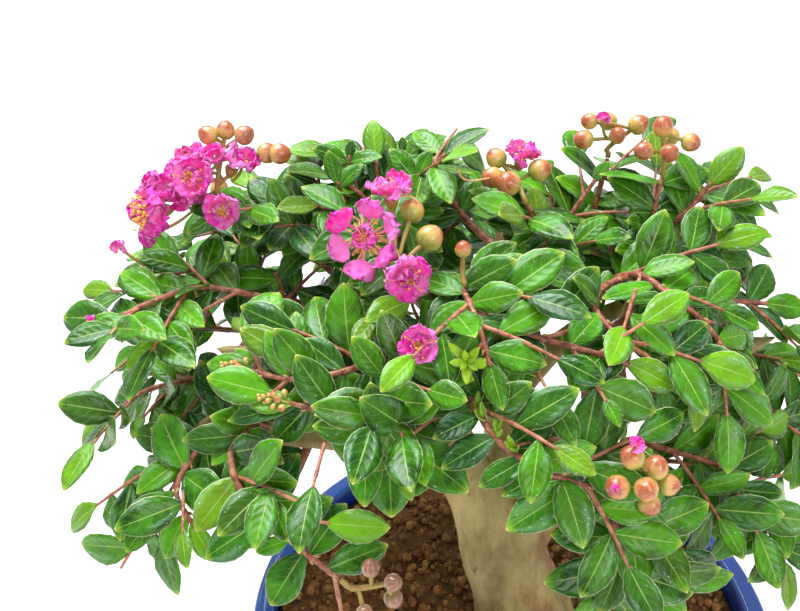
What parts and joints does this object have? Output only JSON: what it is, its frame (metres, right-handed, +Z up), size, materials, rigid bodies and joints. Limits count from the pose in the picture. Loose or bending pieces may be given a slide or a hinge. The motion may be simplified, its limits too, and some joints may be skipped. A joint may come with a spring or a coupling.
{
  "type": "crape myrtle bonsai",
  "caption": "Small flowering crape myrtle tree with a forked trunk, leafy sprays, round buds and crinkled pink flowers, growing in soil in a round glazed bowl pot.",
  "frame": {"origin": "centre of the pot's flat foot, on the table", "axes": "+Z up, the front of the tree looks along -Y, +X to the right as seen from the front"},
  "size_m": [0.3024, 0.2615, 0.2846],
  "materials": {
    "glaze": "gloss",
    "drain_plastic": "matte",
    "soil": "matte",
    "bark": "matte",
    "tie_wire": "satin",
    "leaf": "satin",
    "bud": "satin",
    "petal": "matte"
  },
  "bodies": {
    "root": {"bloom_crown_front_1": "petal", "bloom_lone_centre": "petal", "bloom_lone_left": "petal", "bloom_top_centre_1": "petal", "bloom_top_centre_2": "petal", "bloom_top_centre_3": "petal", "bloom_top_left_1": "petal", "bloom_top_left_2": "petal", "bloom_top_left_3": "petal", "bloom_top_left_4": "petal", "bloom_top_left_5": "petal", "buds_centre": "bud", "buds_crown_back": "bud", "buds_crown_front": "bud", "buds_front_right": "bud", "buds_low_left": "bud", "buds_rear": "bud", "buds_rear_left": "bud", "buds_rear_right": "bud", "buds_top_centre": "bud", "buds_top_left": "bud", "buds_top_right": "bud", "drain_mesh": "drain_plastic", "pot": "glaze", "soil": "soil", "spray_centre_high": "leaf", "spray_crest": "leaf", "spray_crown_110": "leaf", "spray_crown_200": "leaf", "spray_crown_back": "leaf", "spray_crown_front": "leaf", "spray_edge_left": "leaf", "spray_front_centre": "leaf", "spray_front_inner": "leaf", "spray_front_left": "leaf", "spray_front_right": "leaf", "spray_low_left": "leaf", "spray_mid_left": "leaf", "spray_right_inner": "leaf", "spray_shoulder_left": "leaf", "spray_side_112": "leaf", "spray_side_152": "leaf", "spray_side_192": "leaf", "spray_side_232": "leaf", "spray_side_262": "leaf", "spray_side_72": "leaf", "spray_skirt_124": "leaf", "spray_skirt_156": "leaf", "spray_skirt_188": "leaf", "spray_skirt_220": "leaf", "spray_skirt_250": "leaf", "spray_skirt_276": "leaf", "spray_skirt_44": "leaf", "spray_skirt_68": "leaf", "spray_skirt_94": "leaf", "spray_top_centre": "leaf", "spray_top_left": "leaf", "spray_top_right": "leaf", "tie_wire": "tie_wire", "trunk": "bark"}
  },
  "joints": []
}
